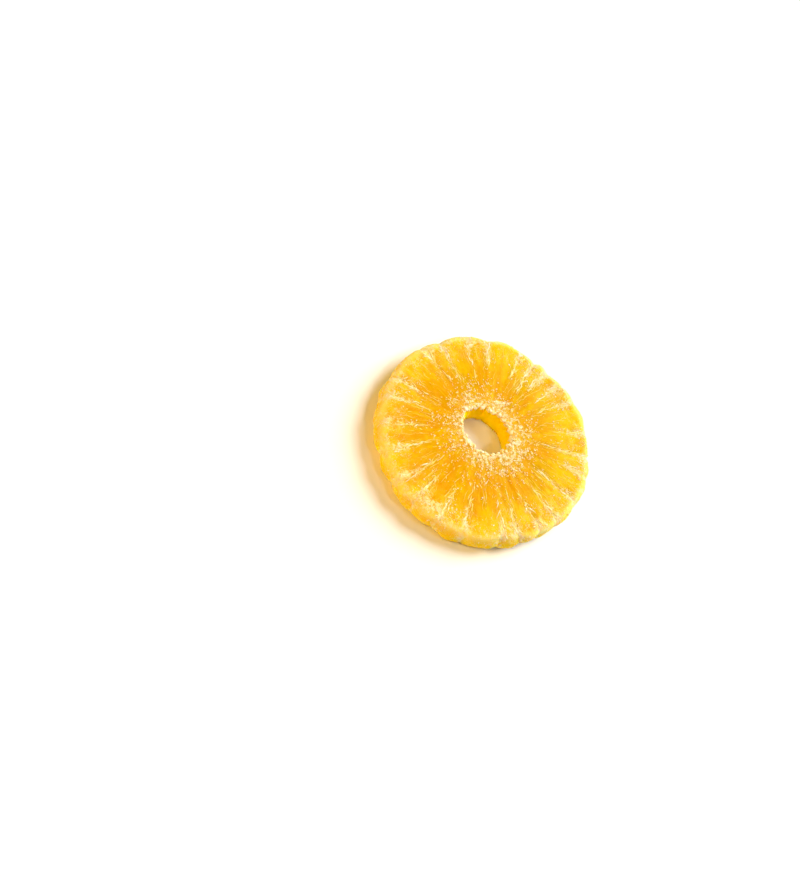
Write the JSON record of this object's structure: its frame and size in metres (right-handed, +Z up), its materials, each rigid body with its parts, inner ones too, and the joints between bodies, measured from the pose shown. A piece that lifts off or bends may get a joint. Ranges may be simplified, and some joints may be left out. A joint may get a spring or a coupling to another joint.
{
  "type": "candied pineapple ring",
  "caption": "Thick cored slice of candied pineapple with a scalloped rim, radial grooves and a round core hole, lying flat.",
  "frame": {"origin": "on the table under the middle of the bounding box; the underside lies at Z 0", "axes": "+Z up through the core hole, out of the better face; +X and +Y lie so that the core hole is off centre by 1.2 mm to -X and 1 mm to +Y"},
  "size_m": [0.0724, 0.0724, 0.0093],
  "materials": {
    "candied_flesh": "satin, translucent"
  },
  "bodies": {
    "root": {"pineapple_ring": "candied_flesh"}
  },
  "joints": []
}
